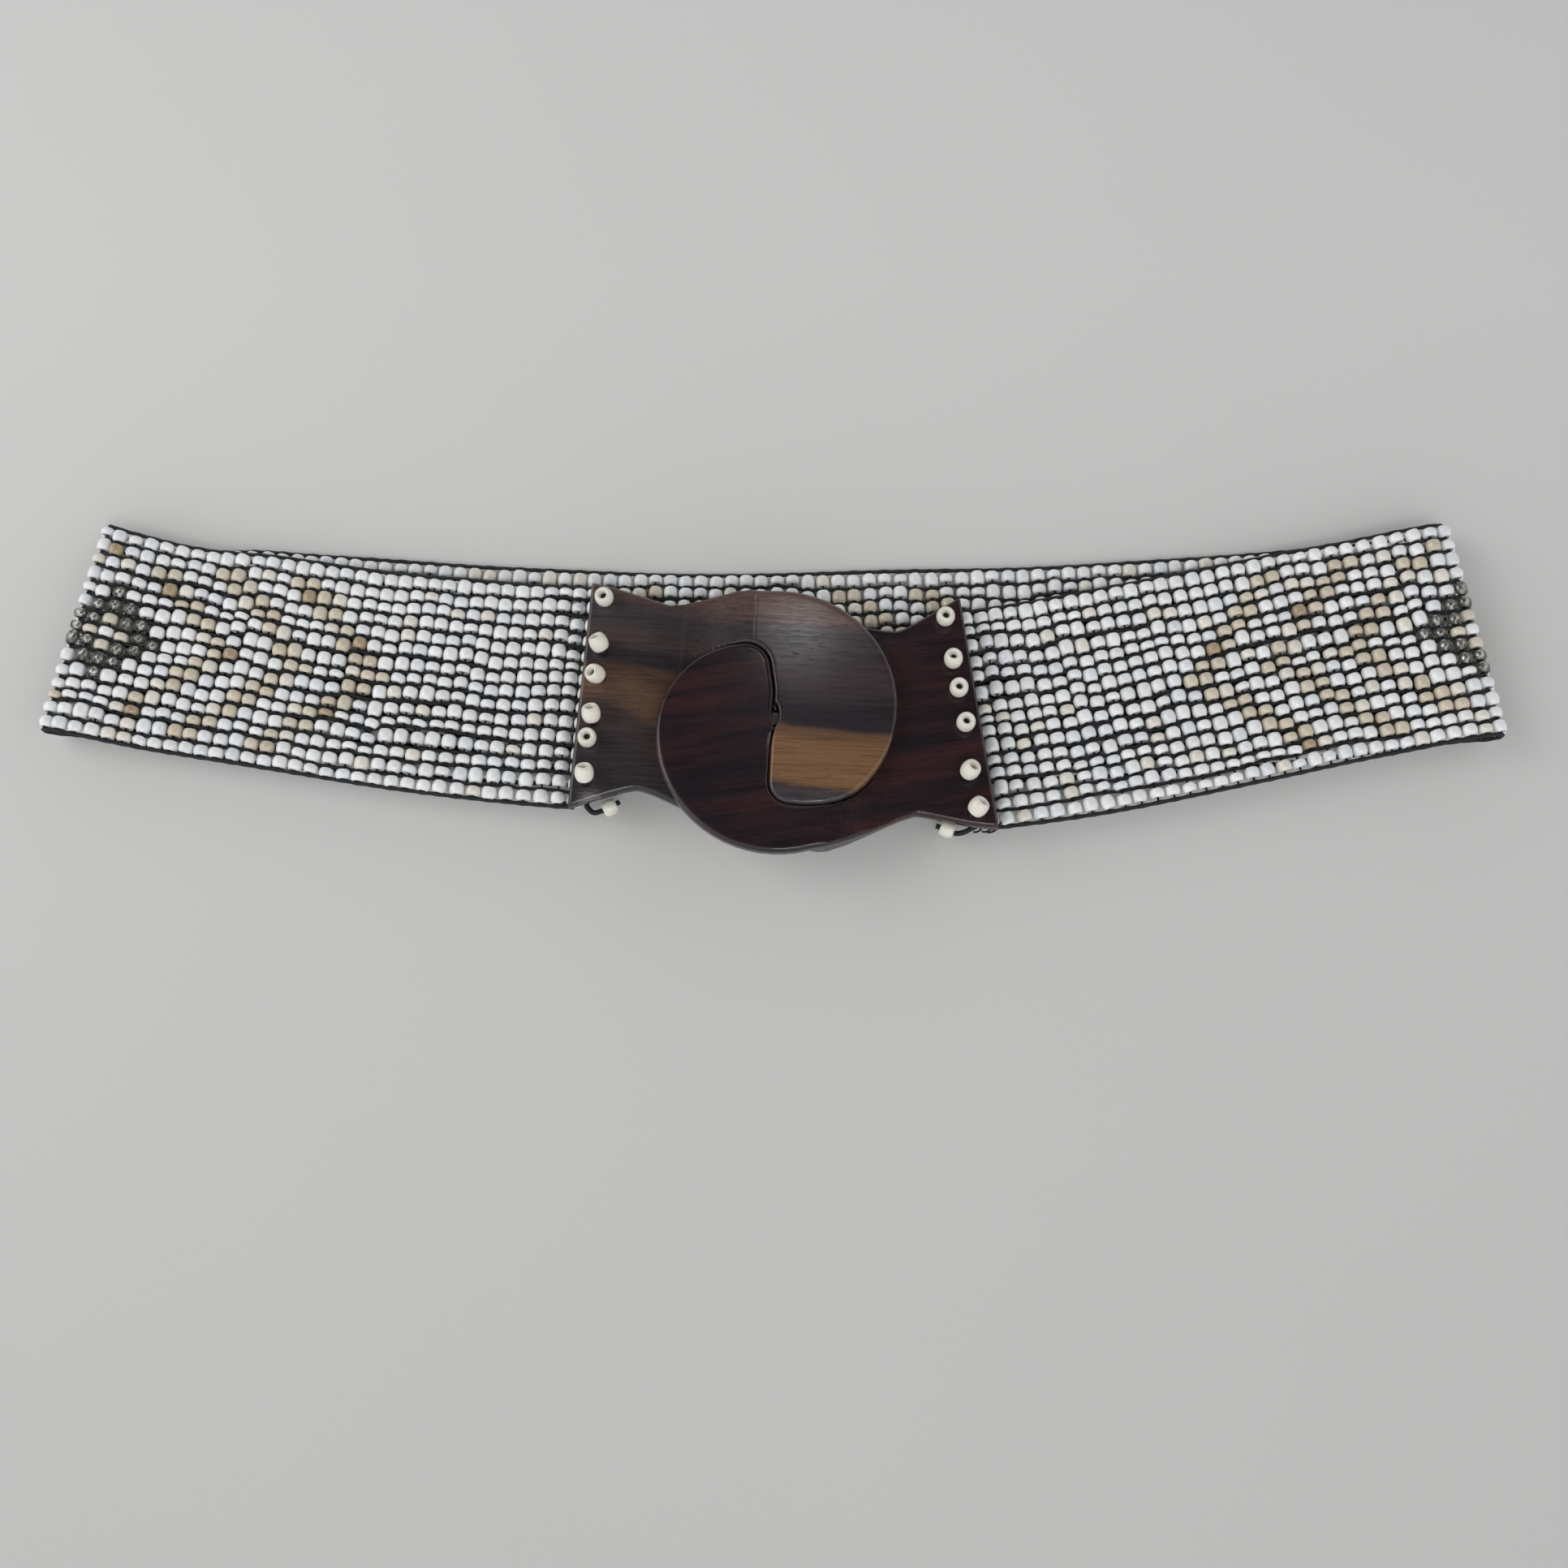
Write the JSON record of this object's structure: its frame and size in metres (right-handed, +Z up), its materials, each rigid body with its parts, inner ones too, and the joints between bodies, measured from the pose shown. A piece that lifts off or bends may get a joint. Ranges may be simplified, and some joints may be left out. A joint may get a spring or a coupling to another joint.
{
  "type": "beaded belt",
  "caption": "Wide seed bead belt lying flat in a fastened loop, its woven band laced to the two halves of a carved wooden hook buckle.",
  "frame": {"origin": "on the surface the belt lies on, under the middle of its box", "axes": "+X along the belt as it lies, +Y across the band away from the viewer, +Z up"},
  "size_m": [0.412, 0.1016, 0.0202],
  "materials": {
    "seed_beads": "glossy opaque white glass with cream, tan and silvery grey beads",
    "thread": "matt black twisted thread",
    "wood_striped": "waxed dark wood with brown, tan and grey-black stripes",
    "wood_dark": "waxed very dark reddish wood",
    "lacing_bead": "glossy opaque white glass"
  },
  "bodies": {
    "root": {"beaded_band": "seed_beads", "buckle_hook_left": "wood_striped", "buckle_hook_right": "wood_dark", "lacing_cord_left": "thread", "lacing_cord_right": "thread", "lacing_bead_left_1": "lacing_bead", "lacing_bead_left_2": "lacing_bead", "lacing_bead_left_3": "lacing_bead", "lacing_bead_left_4": "lacing_bead", "lacing_bead_left_5": "lacing_bead", "lacing_bead_left_6": "lacing_bead", "lacing_bead_right_1": "lacing_bead", "lacing_bead_right_2": "lacing_bead", "lacing_bead_right_3": "lacing_bead", "lacing_bead_right_4": "lacing_bead", "lacing_bead_right_5": "lacing_bead", "lacing_bead_right_6": "lacing_bead", "tie_bead_left": "lacing_bead", "tie_bead_right": "lacing_bead"}
  },
  "joints": []
}
